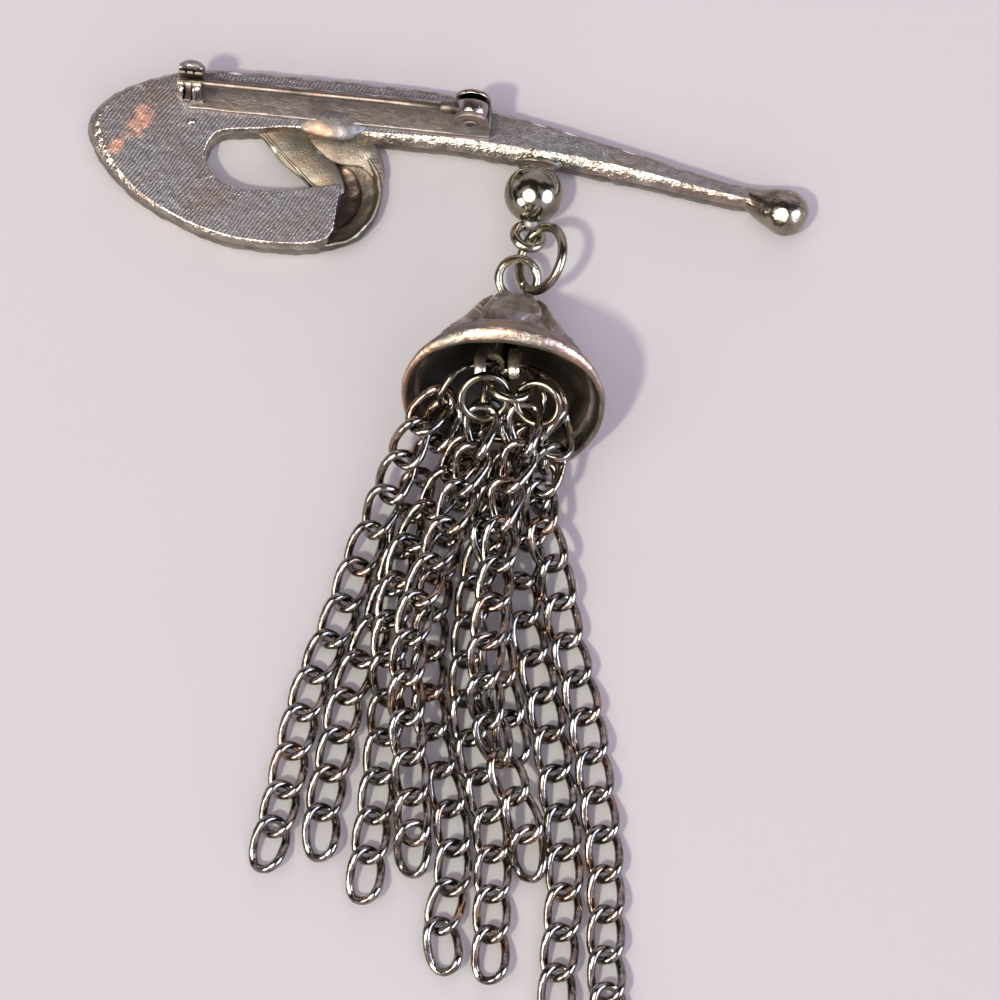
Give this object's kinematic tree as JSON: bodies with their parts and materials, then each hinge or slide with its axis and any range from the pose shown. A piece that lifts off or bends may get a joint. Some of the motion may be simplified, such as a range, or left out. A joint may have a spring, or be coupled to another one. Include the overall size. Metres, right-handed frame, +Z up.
{
  "type": "tassel brooch",
  "caption": "Crescent and bar brooch with a pin and safety catch on its back, and a leaf cap tassel of twisted chains on a jump ring.",
  "frame": {"origin": "middle of the brooch's box on the surface that it lies on, face down", "axes": "+X along the pin stem from its tip to its hinge, +Y from the tassel's end towards the crescent, +Z up from the surface"},
  "size_m": [0.0782, 0.0998, 0.0182],
  "materials": {
    "cast_silver": "brushed cast metal, polished on its bevel",
    "pin_steel": "drawn, slightly tarnished",
    "cap_silver": "oxidised, polished on its lip",
    "chain_silver": "polished gunmetal plate"
  },
  "bodies": {
    "brooch": {"brooch_body": "cast_silver", "jump_ring": "chain_silver", "bell_cap": "cap_silver", "bell_hook": "cap_silver", "gather_ring_left": "chain_silver", "gather_ring_right": "chain_silver", "chain_1": "chain_silver", "chain_2": "chain_silver", "chain_3": "chain_silver", "chain_4": "chain_silver", "chain_5": "chain_silver", "chain_6": "chain_silver", "chain_7": "chain_silver", "chain_8": "chain_silver", "chain_9": "chain_silver", "chain_10": "chain_silver"},
    "pin": {"pin_stem": "pin_steel"},
    "catch": {"catch_roller": "pin_steel"}
  },
  "joints": [
    {"name": "pin_hinge", "type": "hinge", "parent": "brooch", "child": "pin", "pos_m": [0.0022, 0.0464, 0.0072], "axis": [0, 1, 0], "range_deg": [0, 90]},
    {"name": "catch_turn", "type": "hinge", "parent": "brooch", "child": "catch", "pos_m": [-0.028, 0.0464, 0.0072], "axis": [1, 0, 0], "range_deg": [-84, 0]}
  ]
}
